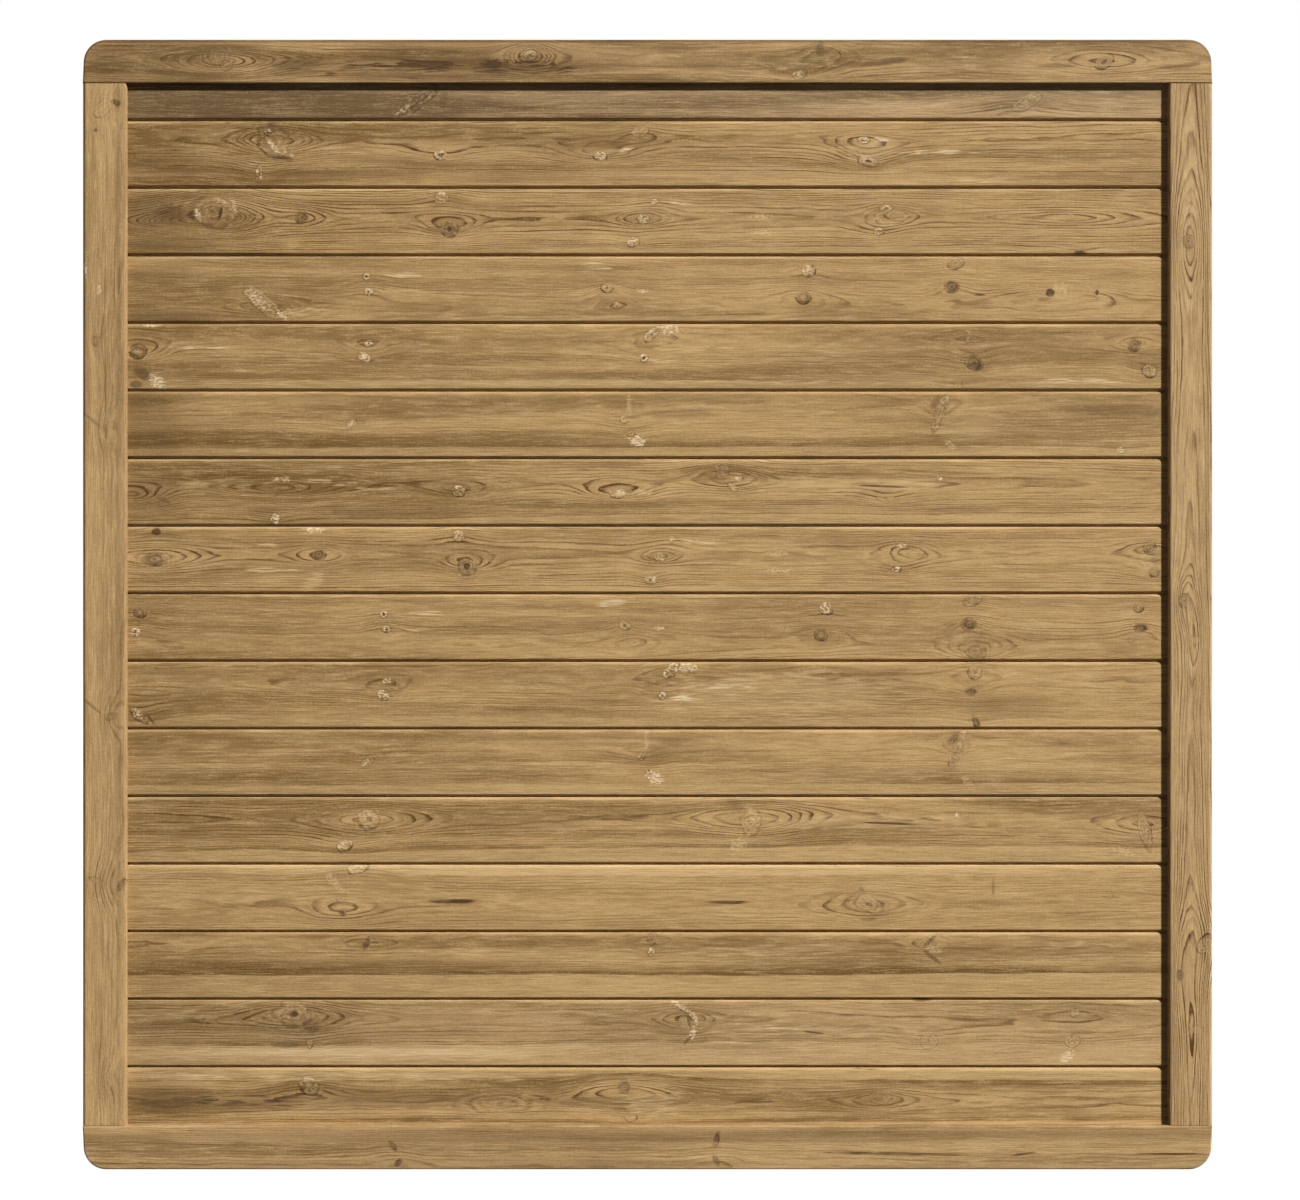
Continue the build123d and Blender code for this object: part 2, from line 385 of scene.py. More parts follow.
saw(
    "board_11",
    blot(150, 425, 41, 42, 0.3, 0.5),
    *SIXTH_BOARD,
    blot(1125, 410, 80, 8, 0.5, 0.5),
    Knot(1122, 450, 3.5, 3, pale=0.7, rim=0.3, swell=3),
    blot(350, 398, 260, 4, 0.22, 0.5), blot(680, 413, 46, 6, 0.38, 0.5),
    blot(500, 445, 370, 4, 0.14, 0.6),
    seed=7.2, pith=(32, 30), drift=6, ring=5.4, lines=0.45, sap_row=447, band=0.4, stain=0.35,
    warp=4, tone=(0.5, 0.19, 0.12),
)
saw(
    "board_10",
    Knot(130, 500, 3, 3, rim=0.0, swell=24, reach=(40, 15)),
    blot(150, 495, 41, 26, 0.3, 0.4), chipped(281, 478.6, 12, 4, 0.5), gleam(312, 481, 36, 2.5, 0.4, 0.9),
    Knot(274, 490, 5, 6, dark=0.1, rim=0.4, swell=14, reach=(60, 12)),
    Knot(274, 519, 4.5, 6, pale=0.7, swell=5),
    gleam(354, 482, 28, 2.5, 0.28, 0.9, 10), gleam(373, 488, 21, 2.5, 0.28, 0.9),
    Knot(338, 476, 7, 3.5, rim=0.4, turn=40, swell=5),
    blot(400, 512, 131, 7, 0.45, 0.6),
    Knot(458.6, 491, 6.5, 5, pale=0.5, rim=0.8, eye=0.4, swell=9, reach=(31, 11)),
    Knot(617.7, 493.7, 8, 5, pale=0.45, rim=0.8, eye=-0.2, swell=12, reach=(38, 11)),
    chipped(640, 492, 18, 4, 0.4),
    Knot(722, 470, 7, 8.5, dark=0.3, pale=0.15, swell=12, reach=(38, 15)),
    Knot(739, 478, 4.5, 3, pale=0.6, rim=0.4, swell=2),
    Knot(733, 487, 5, 3, pale=0.4, rim=0.6, turn=-40, swell=2),
    blot(884, 486, 31, 1.5, 0.9, 0.2, -2),
    Knot(886, 498, 8.5, 4.5, rim=0.3, eye=0.4),
    blot(965, 510, 49, 6, 0.4, 0.6),
    Knot(940, 478, 3, 3, pale=0.75, rim=0.1, swell=0),
    gleam(850, 484, 125, 9, 0.22, 0.3), blot(158, 497, 26, 3, 0.3, 0.6, -30),
    blot(300, 462, 60, 3, 0.3, 0.5), blot(260, 511, 28, 6, 0.35, 0.5), gleam(225, 482, 70, 5, 0.18, 0.5),
    gleam(450, 485, 40, 7, 0.16), blot(840, 509, 150, 4, 0.15, 0.6),
    seed=8.6, pith=(12, 22), drift=11, ring=4.7, lines=1.0, sap_row=516, band=0.3, stain=0.4,
    warp=7, tone=(0.6, 0.21, -0.08),
)
saw(
    "board_09",
    Knot(152.8, 559, 11, 6.5, dark=0.6, swell=12, reach=(38, 13)),
    Knot(154.7, 531, 4.5, 3.5, dark=0.9, rim=0.6, swell=5),
    chipped(314, 530, 12, 4, 0.65), gleam(265, 546, 28, 3, 0.4, 0.9), gleam(275, 570, 36, 3, 0.5, 0.9),
    gleam(310, 584, 21, 8, 0.3, 0.7, 40),
    *shifted(THIRD_BOARD, 17.5, 338.5),
    Knot(1151.6, 548, 6, 6.5, dark=0.4, pale=0.1, rim=0.9, swell=9, reach=(28, 9)),
    Knot(1155.6, 572, 5, 4.5, dark=0.4, pale=0.1, rim=0.9, swell=7),
    chipped(1148, 560, 10, 8, 0.35, -50), blot(165, 534, 26, 4, 0.3, 0.4),
    gleam(760, 590, 420, 4, 0.24, 0.2), gleam(780, 558, 160, 26, 0.06), gleam(190, 561, 60, 10, 0.1),
    seed=9.8, pith=(6, 26), drift=8, ring=5.2, lines=0.85, stain=0.25, warp=6,
    tone=(0.27, 0.14, 0.05),
)
saw(
    "board_08",
    Knot(138.5, 612.7, 6.5, 5, dark=0.5, pale=0.2, rim=0.8, eye=-0.6),
    Knot(133.7, 632, 5, 4.5, pale=0.7, eye=0.6, swell=5),
    *shifted(FOURTH_BOARD, 17.5, 338.5),
    Knot(976, 651, 10, 8.5, dark=0.3, rim=0.6, swell=12, reach=(31, 15)),
    Knot(1139.6, 607.6, 5, 5, dark=0.3, pale=0.15, rim=0.9, swell=4),
    Knot(1141.5, 628, 6.5, 4.5, dark=0.8),
    Knot(1132, 640, 3, 3, rim=0.8, swell=2),
    seed=10.5, pith=(-30, 34), drift=9, ring=4.6, lines=0.6, stain=0.25, warp=6,
    tone=(0.42, 0.2, 0.12),
)
saw(
    "board_07",
    Knot(138, 716, 10, 4.5, dark=0.2, pale=0.5, rim=0.9, turn=-40, swell=10, reach=(31, 16)),
    blot(149, 719, 9, 1.5, 0.8, 0.2, -50),
    Knot(310, 687, 3, 3, rim=0.1, swell=8, reach=(69, 8)),
    *shifted(FIFTH_BOARD, 18.5, 338.5),
    Knot(971.7, 692, 6, 3.5, dark=0.8),
    Knot(976.5, 722, 3.5, 6.5, dark=0.8, rim=0.6, turn=25, swell=5),
    Knot(976, 672, 6.5, 7, pale=0.3, rim=0.6, eye=0.3, turn=-30),
    blot(1010, 706, 57, 14, 0.3, 0.5), gleam(345, 685, 70, 7, 0.15), blot(170, 672, 60, 5, 0.2, 0.5),
    gleam(780, 695, 160, 28, 0.26),
    seed=11.9, pith=(24, 32), drift=-7, ring=5.0, lines=0.65, sap_row=718, band=0.25, stain=0.3,
    warp=5, tone=(0.37, 0.26, -0.1),
)
saw(
    "board_06",
    *shifted(SIXTH_BOARD, 17.5, 338),
    gleam(183, 765, 22, 22, 0.06), gleam(460, 766, 200, 5, 0.14), gleam(850, 776, 120, 7, 0.16),
    blot(450, 738, 320, 4, 0.2, 0.5),
    seed=12.6, pith=(32, 30), drift=6, ring=5.4, lines=0.45, sap_row=785, band=0.4, stain=0.35,
    warp=4, tone=(0.4, 0.19, 0.14),
)
saw(
    "board_05",
    Knot(368, 820, 9.5, 9.5, pale=0.35, rim=0.7, eye=0.3, swell=16, reach=(47, 16)),
    Knot(344, 846, 8.5, 5, pale=0.5, rim=1.0, turn=30, swell=10, reach=(38, 11)),
    Knot(751, 822, 9, 14, dark=0.1, pale=0.25, rim=0.4, swell=16, reach=(56, 21)),
    chipped(738, 845, 13, 8, 0.35, 30), blot(735, 804, 15, 8, 0.35, 0.6, -40),
    blot(892, 824, 37, 1.5, 0.9, 0.2, -2),
    Knot(958, 816, 3, 3, pale=0.75, rim=0.1, swell=0),
    Knot(1146, 830, 6, 18, dark=0.15, pale=0.15, rim=0.4, turn=12, swell=10, reach=(38, 21)),
    Knot(1149, 832, 3.5, 3.5, pale=0.2, rim=0.8, eye=0.3, swell=0),
    chipped(1124, 852, 15, 5, 0.4, -10), gleam(870, 823, 150, 9, 0.26), blot(230, 833, 110, 5, 0.2, 0.6),
    seed=13.3, pith=(16, 24), drift=12, ring=5.0, lines=0.95, sap_row=848, band=0.6, stain=0.4,
    warp=6, tone=(0.35, 0.08, 0.03),
)
saw(
    "board_04",
    Knot(357.5, 868, 10, 6, pale=0.35, rim=0.7, turn=20, swell=8, reach=(44, 13)),
    chipped(334, 884, 16, 6, 0.35, -50),
    Knot(342, 913, 3.5, 3.5, dark=0.5, pale=0.2, eye=0.9, swell=9, reach=(35, 14)),
    Knot(340, 899, 4.5, 3, rim=0.6, eye=0.3, swell=2),
    Knot(870, 905, 13, 8, pale=0.2, rim=0.4, eye=0.5, turn=-20, swell=13, reach=(46, 20)),
    Knot(862, 890, 2.5, 2.5, dark=0.5, rim=0.2, swell=0),
    Knot(884, 905, 3, 1.5, dark=0.5, rim=0.2, turn=-35, swell=0),
    blot(869, 920, 12, 2.5, 0.5),
    Knot(1110, 895, 3, 3, rim=0.1, swell=9, reach=(94, 10)),
    blot(994, 888, 2, 12, 0.4), gleam(640, 871, 492, 7, 0.3, 0.2), blot(449, 902, 31, 2.4, 1.0),
    blot(462, 902, 16, 3.2, 0.9), blot(728, 903, 30, 2.4, 1.0), gleam(320, 897, 200, 10, 0.1),
    gleam(880, 893, 34, 15, 0.15, 0.2), blot(450, 922, 330, 5, 0.1, 0.7),
    seed=14.4, pith=(-10, 34), drift=7, ring=5.2, lines=0.6, sap_row=876, band=0.1, stain=0.15,
    warp=6, tone=(0.14, 0, 0.04),
)
saw(
    "board_03",
    Knot(366, 944, 3, 6.5, dark=0.8, rim=0.4, turn=-25, swell=5, reach=(31, 8)),
    Knot(652, 940, 5, 6.5, dark=0.3, pale=0.15, eye=0.3, turn=-20, reach=(25, 9)),
    Knot(651, 953, 3.5, 4.5, pale=0.45, rim=0.8, swell=0),
    Knot(926, 945, 6.5, 6.5, dark=0.15, rim=0.3, turn=40, swell=7, reach=(23, 13)),
    blot(930, 942.5, 12, 2.5, 0.6, 0.3, 43), blot(934, 959, 15, 2.5, 0.6, 0.3, -38),
    chipped(934, 950, 11, 4, 0.35, -10), blot(965, 949, 37, 1.5, 0.5, 0.4),
    gleam(205, 962, 10, 20, 0.07, 0.5), gleam(230, 988, 57, 9, 0.1, 0.5), blot(200, 935, 80, 3, 0.3, 0.4),
    gleam(600, 953, 320, 6, 0.12, 0.5), gleam(1090, 946, 62, 5, 0.16), blot(340, 966, 250, 9, 0.28, 0.4),
    gleam(780, 958, 150, 26, 0.07),
    seed=15.2, pith=(34, 28), drift=4, ring=5.2, lines=0.6, sap_row=976, band=1.0, stain=0.35,
    warp=4, tone=(0.45, 0.13, 0.13),
)
saw(
    "board_02",
    Knot(292, 1015, 17, 12, dark=0.15, pale=0.15, rim=0.4, eye=0.2, swell=15, reach=(47, 16)),
    Knot(293, 1015.5, 4, 3, dark=0.6, rim=0.3, eye=0.6, swell=0),
    blot(311, 1026, 12, 10, 0.4, 0.4, -40),
    Knot(309, 1045, 3, 4.5, pale=0.3, rim=0.9, swell=5),
    Knot(684, 1022, 6, 6, rim=0.15, swell=8, reach=(28, 18)),
    chipped(680, 1007, 14, 3.5, 0.6, -32), chipped(694, 1019, 10, 4, 0.6, -62),
    chipped(693, 1034, 10, 4, 0.6, 70), blot(683, 1012, 13, 1.5, 0.6, 0.3, -35),
    blot(689, 1023, 8, 1.8, 0.6, 0.3, -75), blot(688, 1041, 8, 1.8, 0.6, 0.3, 45),
    gleam(740, 1035, 49, 24, 0.12, 0.5), gleam(770, 1028, 57, 3, 0.22, 0.7, -6),
    Knot(930, 1042, 8, 8, pale=0.12, rim=0.3, eye=0.2, turn=40, reach=(38, 16)),
    blot(450, 1024, 120, 12, 0.16, 0.6), blot(922, 1001, 12, 2.5, 0.8),
    Knot(1076, 1014, 4.5, 4.5, pale=0.2, rim=0.8, swell=5, reach=(31, 8)),
    Knot(1074, 1042, 7, 6, pale=0.3, turn=40, swell=7, reach=(75, 11)),
    chipped(1068, 1058, 12, 6, 0.65, 50), gleam(400, 1052, 270, 8, 0.2, 0.2),
    gleam(165, 1018, 44, 5, 0.15, 0.6), blot(285, 1046, 18, 4, 0.5), gleam(835, 1032, 80, 8, 0.18, 0.5),
    blot(735, 1048, 50, 3, 0.35, 0.4), blot(340, 1034, 260, 9, 0.3, 0.5),
    gleam(340, 1056, 270, 8, 0.25, 0.2), gleam(800, 1028, 150, 26, 0.1), gleam(155, 1016, 50, 8, 0.18),
    blot(165, 1042, 50, 5, 0.25, 0.4), blot(1065, 1040, 26, 6, 0.25, 0.4),
    blot(814, 1033.5, 14, 1.3, 0.9, 0.2, -7),
    seed=16.7, pith=(18, 26), drift=9, ring=5.0, lines=0.9, sap_row=1044, band=0.4, stain=0.35,
    warp=6, tone=(0.36, 0.08, -0.02), fade=0.12,
)
saw(
    "board_01",
    Knot(308.5, 1087, 10, 8, dark=0.3, pale=0.3, rim=1.0, turn=-20, swell=8, reach=(38, 14)),
    gleam(325, 1105, 38, 14, 0.14, 0.5),
    Knot(624, 1088, 6, 6.5, dark=0.6, rim=0.3, swell=15, reach=(53, 16)),
    gleam(612, 1104, 34, 10, 0.12, 0.5), gleam(650, 1104, 30, 15, 0.3),
    Knot(631, 1119, 6, 4.5, pale=0.2, rim=1.0, swell=5),
    Knot(881, 1099, 10, 6, rim=0.3, reach=(31, 13)),
    blot(870, 1070, 18, 2.5, 0.7, 0.8), blot(760, 1103, 25, 1.5, 0.8, 0.4),
    Knot(500, 1105, 30, 8, rim=0.2, swell=7),
    blot(170, 1098, 57, 17, 0.4, 0.4), gleam(480, 1078, 330, 5, 0.18, 0.5),
    blot(340, 1101, 290, 14, 0.28, 0.4), gleam(330, 1077, 270, 7, 0.2, 0.3),
    blot(255, 1105, 70, 10, 0.35, 0.5), blot(560, 1100, 60, 12, 0.35, 0.5), gleam(185, 1082, 50, 9, 0.16),
    blot(400, 1100, 220, 13, 0.25, 0.6),
    seed=17.5, pith=(-2, 22), drift=3, ring=4.6, lines=0.85, sap_row=1080, band=0.5, stain=0.5,
    warp=5, tone=(0.3, 0.16, -0.15),
)
saw(
    "top_rail",
    Knot(219, 56, 10, 9.5, dark=0.1, rim=0.35, swell=4),
    Knot(226, 64, 7, 6, dark=0.15, rim=0.4, swell=22, reach=(56, 15)),
    blot(297, 65, 37, 6, 0.55, 0.4), blot(425, 65, 33, 7, 0.7, 0.5), blot(380, 72, 74, 14, 0.4, 0.6),
    blot(520, 68, 82, 10, 0.45, 0.6), blot(160, 60, 98, 38, 0.25),
    Knot(530.6, 55, 6.5, 5, pale=0.45, eye=0.3, swell=16, reach=(22, 16)),
    blot(440, 64, 150, 8, 0.4, 0.7), blot(490, 60, 160, 24, 0.3), blot(690, 64, 57, 7, 0.3, 0.5),
    Knot(800, 74, 7, 4.5, dark=0.2, pale=0.4, rim=0.8, turn=20, swell=10, reach=(38, 13)),
    Knot(821, 49, 4.5, 6, dark=0.5, swell=9, reach=(22, 14)),
    blot(884, 62, 34, 4, 0.6, 0.4, 8),
    Knot(1104, 62, 10, 6, dark=0.2, rim=0.8, eye=0.4, turn=30, swell=14, reach=(50, 14)),
    blot(1057, 66, 25, 3.5, 0.5, 0.4), blot(1172, 67, 25, 3.5, 0.5, 0.4), blot(300, 73, 56, 6, 0.3, 0.6),
    blot(310, 72, 70, 6, 0.2, 0.5), blot(600, 68, 60, 6, 0.2, 0.5), gleam(210, 52, 80, 6, 0.1, 0.5),
    gleam(790, 60, 56, 13, 0.13), blot(450, 80, 60, 6, 0.3, 0.5),
    seed=21.3, pith=(6, 30), drift=10, ring=4.8, lines=0.8, stain=0.55, warp=7,
    tone=(0.55, 0.33, 0.1), fade=0.1, grime=(0.45, 0.0),
)
saw(
    "bottom_rail",
    blot(640, 1136, 738, 8, 0.28), blot(450, 1164, 450, 6, 0.2),
    Knot(393, 1146, 6.5, 3, dark=0.7, rim=0.4, turn=-50, swell=4),
    Knot(398, 1163, 4.5, 3, dark=0.7, rim=0.4, turn=40, swell=4),
    Knot(716, 1141, 3, 8.5, dark=0.6, rim=0.4, turn=-15, swell=4),
    Knot(716, 1160, 3, 7, dark=0.6, rim=0.4, turn=20, swell=4),
    blot(903, 1154, 107, 2, 0.9, 0.4, -1), blot(1023, 1154, 15, 1.5, 0.9, 0.2, 8),
    blot(1172, 1154, 43, 1.5, 0.9), gleam(985, 1145, 49, 12, 0.2, 0.5), blot(510, 1146, 170, 22, 0.09),
    seed=22.8, pith=(-40, 40), drift=5, ring=5.0, lines=0.6, stain=0.35, warp=6,
    tone=(0.26, 0.24, 0.04), fade=0.1, grime=(0.0, 0.1),
)
saw(
    "left_stile",
    Knot(103, 108, 6.5, 10, rim=0.35, turn=50, swell=7, reach=(19, 16)),
    # Painted shade at the stile's top inner corner, under the top rail
    blot(117, 98, 16, 5, 0.3),
    Knot(116, 102, 5, 3, dark=0.5, rim=0.4, turn=70, swell=3),
    Knot(96, 130, 2, 2, dark=1.0, swell=0),
    chipped(85, 270, 10, 3, 0.65), chipped(99, 289, 7, 3, 0.5), blot(119, 278, 20, 2.5, 0.4, 0.4),
    Knot(97, 341, 4.5, 4.5, dark=0.3, rim=0.7, swell=5),
    Knot(106, 428, 4, 4, dark=0.1, rim=0.2, swell=8, reach=(20, 11)),
    blot(105.5, 385, 44, 1.0, 0.5, 0.2), blot(106, 432, 10, 1.5, 0.6),
    blot(92, 420, 2, 15, 0.4, 0.3, -40), blot(92, 706, 2, 15, 0.45, 0.3, -40),
    Knot(112, 716, 3.5, 6.5, dark=0.4, turn=20, swell=7, reach=(19, 13)),
    Knot(100, 883, 3, 10, dark=0.1, rim=0.6, turn=-30, swell=9, reach=(25, 15)),
    Knot(122, 885, 6, 3, dark=0.4, rim=0.7, turn=-30, swell=4),
    Knot(106, 1077.5, 3.5, 3.5, rim=0.7, eye=0.4, reach=(21, 9)),
    # Painted shade in two long strips along the stile's inner arris, which the key lamp lights
    blot(118.5, 600, 900, 3, 0.16), blot(124.6, 600, 900, 2.2, 0.3, 0.2),
    seed=23.9, pith=(30, 44), drift=5, ring=4.6, lines=0.45, stain=0.2, warp=3,
    tone=(0.13, 0.14, 0.16), fade=0.1,
)
saw(
    "right_stile",
    Knot(1188.7, 241, 6.5, 6, dark=0.4, pale=0.1, rim=0.7, eye=0.4, swell=15, reach=(50, 13)),
    Knot(1184, 601, 6.5, 5, dark=0.35, rim=0.8, eye=0.4, swell=9, reach=(31, 13)),
    Knot(1196, 640, 4, 4, rim=0.1, swell=12, reach=(38, 8)),
    Knot(1206, 944, 10, 6.5, dark=0.25, pale=0.2, rim=0.9, turn=-40, swell=12, reach=(38, 19)),
    Knot(1180, 975, 4.5, 3, dark=0.5, swell=12, reach=(56, 10)),
    Knot(1196, 1030, 4, 4, rim=0.1, swell=8, reach=(50, 9)),
    gleam(1188, 160, 95, 13, 0.2), gleam(1184, 500, 420, 12, 0.14), blot(1208, 600, 700, 3, 0.12),
    gleam(1171, 600, 700, 2.5, 0.25, 0.1),
    seed=25.1, pith=(0, 24), drift=22, ring=4.6, lines=1.2, stain=0.12, warp=4, tone=(0.02, 0, 0),
    fade=0.15,
)


class Graph:
    """Short forms for building a node tree."""

    def __init__(self, tree):
        self.tree = tree

    def node(self, kind, inputs=(), **settings):
        made = self.tree.nodes.new(kind)
        for name, value in settings.items():
            setattr(made, name, value)
        for key, value in dict(inputs).items():
            self.put(made.inputs[key], value)
        return made

    def put(self, socket, value):
        if isinstance(value, bpy.types.NodeSocket):
            self.tree.links.new(value, socket)
        else:
            socket.default_value = value

    def math(self, operation, *values, clamp=False):
        inputs = dict(enumerate(values))
        return self.node("ShaderNodeMath", inputs, operation=operation, use_clamp=clamp).outputs[0]

    def add(self, a, b):
        return self.math("ADD", a, b)

    def multiply(self, a, b):
        return self.math("MULTIPLY", a, b)

    def multiply_add(self, a, b, c):
        return self.math("MULTIPLY_ADD", a, b, c)

    def step(self, value, start, end, low=0.0, high=1.0):
        """A smooth change from low to high while the value goes from start to end."""
        inputs = {"Value": value, "From Min": start, "From Max": end, "To Min": low, "To Max": high}
        return self.node("ShaderNodeMapRange", inputs, interpolation_type="SMOOTHSTEP").outputs[0]

    def mix(self, factor, a, b, blend="MIX"):
        made = self.node("ShaderNodeMix", data_type="RGBA", blend_type=blend)
        sockets = {s.identifier: s for s in made.inputs}
        self.put(sockets["Factor_Float"], factor)
        self.put(sockets["A_Color"], a)
        self.put(sockets["B_Color"], b)
        return made.outputs[2]

    def vector(self, operation, *values):
        return self.node("ShaderNodeVectorMath", dict(enumerate(values)), operation=operation).outputs

    def parts(self, vector):
        return self.node("ShaderNodeSeparateXYZ", {0: vector}).outputs

    def join(self, *parts):
        return self.node("ShaderNodeCombineXYZ", dict(enumerate(parts))).outputs[0]

    def noise(self, place, lengths, detail=2.0, seed=0.0):
        """Noise from 0 to 1 whose grains have about these lengths in mm."""
        scale = tuple(1 / length for length in lengths)
        moved = self.vector("MULTIPLY_ADD", place, scale, (seed * 3.1, seed * 5.7, seed * 1.3))[0]
        noise = self.node("ShaderNodeTexNoise", {"Vector": moved, "Scale": 1.0, "Detail": detail})
        return noise.outputs["Fac"]

    def waver(self, place, lengths, detail, seed):
        """The same noise, from -0.5 to 0.5."""
        return self.add(self.noise(place, lengths, detail, seed), -0.5)

    def turned(self, offset, along, across):
        """An offset along an ellipse's two axes, where 1 is its edge."""
        return [self.vector("DOT_PRODUCT", offset, axis)["Value"] for axis in (along, across)]

    def length(self, x, y):
        return self.math("SQRT", self.multiply_add(x, x, self.multiply(y, y)))


def group_with(name, inputs, outputs):
    """An empty node group with these sockets, its graph, and its input and output nodes."""
    tree = bpy.data.node_groups.new(name, "ShaderNodeTree")
    for socket_name, kind in inputs:
        tree.interface.new_socket(socket_name, in_out="INPUT", socket_type=kind)
    for socket_name, kind in outputs:
        tree.interface.new_socket(socket_name, in_out="OUTPUT", socket_type=kind)
    graph = Graph(tree)
    return tree, graph, graph.node("NodeGroupInput").outputs, graph.node("NodeGroupOutput").inputs


FLOAT = "NodeSocketFloat"
VECTOR = "NodeSocketVector"
SUMS = ("Swell", "Dark", "Pale", "Calm")


def knot_group():
    """Adds one knot to the running sums: how far rings are pushed out, dark, pale, and calm wood. Its pale
    holds a painted highlight on the knot's upper side and its dark a painted shade on its lower side.
    """
    own = ("Dark Heart", "Pale Heart", "Rim", "Eye", "Push", "Ripple", "Mottle", "Chips")
    inputs = [(name, VECTOR) for name in ("Place", "Middle", "Long Axis", "Cross Axis", "Reach")]
    inputs += [(name, FLOAT) for name in own + SUMS]
    tree, g, given, result = group_with("knot", inputs, [(name, FLOAT) for name in SUMS])
    offset = g.vector("SUBTRACT", given["Place"], given["Middle"])[0]
    x, y = g.turned(offset, given["Long Axis"], given["Cross Axis"])
    edge = g.add(g.length(x, y), given["Ripple"])
    heart = g.step(edge, 1.15, 0.75)
    rim = g.step(g.math("ABSOLUTE", g.add(edge, -1.0)), 0.34, 0.0)
    # The dark rim is partly painted shade, stronger on the knot's lower side (on the stiles, its left side)
    painted_rim_shade = g.multiply_add(given["Mottle"], 0.9, g.multiply_add(y, -0.35, 0.3))
    rim = g.multiply(rim, g.math("MAXIMUM", painted_rim_shade, 0.0))
    eye = g.step(edge, 0.5, 0.12)
    rings = g.multiply(g.math("SINE", g.multiply(edge, 13.0)), g.step(edge, 2.4, 0.9))
    patchy = g.multiply(heart, g.multiply_add(given["Mottle"], 0.5, 0.85))
    dark = g.multiply_add(patchy, given["Dark Heart"], given["Dark"])
    dark = g.multiply_add(rings, 0.15, dark)
    dark = g.multiply_add(rim, given["Rim"], dark)
    # Pale torn chips in the heart, with a painted highlight on the knot's upper side (on the stiles, its
    # right side); where this goes below zero it is painted shade on the other side
    lit = g.multiply_add(given["Mottle"], -0.6, g.multiply_add(y, 0.4, given["Chips"]))
    torn = g.multiply(heart, g.math("MAXIMUM", lit, 0.0))
    painted_low_shade = g.multiply(heart, g.math("MINIMUM", lit, 0.0))
    g.put(result["Pale"], g.multiply_add(torn, given["Pale Heart"], given["Pale"]))
    dark = g.multiply_add(painted_low_shade, g.multiply(given["Pale Heart"], -1.0), dark)
    g.put(result["Dark"], g.multiply_add(eye, given["Eye"], dark))
    g.put(result["Calm"], g.add(heart, given["Calm"]))
    far = g.vector("MULTIPLY", offset, given["Reach"])[0]
    bulge = g.math("POWER", math.e, g.multiply(g.vector("DOT_PRODUCT", far, far)["Value"], -1.0))
    g.put(result["Swell"], g.multiply_add(bulge, given["Push"], given["Swell"]))
    return tree


def smear_group():
    """Adds one smear to the running sums."""
    inputs = [(name, VECTOR) for name in ("Place", "Middle", "Long Axis", "Cross Axis")]
    inputs += [(name, FLOAT) for name in ("Darken", "Lighten", "Broken", "Gaps", "Dark", "Pale")]
    tree, g, given, result = group_with("smear", inputs, [("Dark", FLOAT), ("Pale", FLOAT)])
    offset = g.vector("SUBTRACT", given["Place"], given["Middle"])[0]
    patch = g.step(g.length(*g.turned(offset, given["Long Axis"], given["Cross Axis"])), 1.25, 0.15)
    gaps = g.multiply(given["Gaps"], given["Broken"])
    patch = g.multiply(g.step(g.multiply_add(gaps, -0.7, patch), 0.0, 0.65), g.multiply_add(gaps, -0.8, 1.0))
    g.put(result["Dark"], g.multiply_add(patch, given["Darken"], given["Dark"]))
    g.put(result["Pale"], g.multiply_add(patch, given["Lighten"], given["Pale"]))
    return tree


def seen_at(column, row, node):
    """Where a pixel of the photo falls on a piece: mm along its grain and across it, from its middle."""
    low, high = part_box(node)
    x = (column - PANEL_MIDDLE_PX) * METRES_PER_PIXEL - (low[0] + high[0]) / 2
    z = (PANEL_FOOT_PX - row) * METRES_PER_PIXEL - (low[2] + high[2]) / 2
    across, along = (x / MM, z / MM) if node in UPRIGHTS else (z / MM, x / MM)
    return (along, across, 0.0)


def from_middle(g, middle):
    """How far a point is from a middle along X, Y and Z, in mm."""
    coordinates = g.node("ShaderNodeTexCoord").outputs["Object"]
    moved = g.vector("ADD", coordinates, tuple(-value for value in middle))[0]
    scaled = g.node("ShaderNodeVectorMath", {0: moved, "Scale": 1 / MM}, operation="SCALE").outputs[0]
    return g.parts(scaled)


def place_on(g, node):
    """A point's place in a piece: mm along the grain, across it and back from its middle."""
    low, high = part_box(node)
    x, y, z = from_middle(g, [(a + b) / 2 for a, b in zip(low, high)])
    return g.join(z, x, y) if node in UPRIGHTS else g.join(x, z, y)


def placed(mark, node):
    """The inputs that set where a mark lies on a piece, and its two axes."""
    turn = math.radians(-mark.turn if node in UPRIGHTS else mark.turn)
    along, across = mark.along * PIXEL, mark.across * PIXEL
    return {
        "Middle": seen_at(mark.x, mark.y, node),
        "Long Axis": (math.cos(turn) / along, math.sin(turn) / along, 0.0),
        "Cross Axis": (-math.sin(turn) / across, math.cos(turn) / across, 0.0),
    }


def add_knots(g, timber, node, place, chips):
    """Runs through a piece's knots and returns the sums that they leave."""
    sums = dict.fromkeys(SUMS, 0.0)
    ripple = g.multiply(g.waver(place, RIPPLE, 1.0, timber.seed + 0.4), 0.8)
    mottle = g.multiply(g.waver(place, MOTTLE, 1.0, timber.seed + 0.5), 2.8)
    for mark in timber.marks:
        if isinstance(mark, Knot):
            inputs = placed(mark, node) | sums
            inputs |= {"Place": place, "Ripple": ripple, "Mottle": mottle, "Chips": chips}
            inputs |= {"Dark Heart": mark.dark, "Pale Heart": mark.pale, "Rim": mark.rim, "Eye": mark.eye}
            inputs |= {"Push": mark.swell}
            inputs |= {"Reach": (1 / mark.reach[0] / PIXEL, 1 / mark.reach[1] / PIXEL, 0.0)}
            made = g.node("ShaderNodeGroup", inputs, node_tree=bpy.data.node_groups["knot"])
            sums = {name: made.outputs[name] for name in SUMS}
    return sums


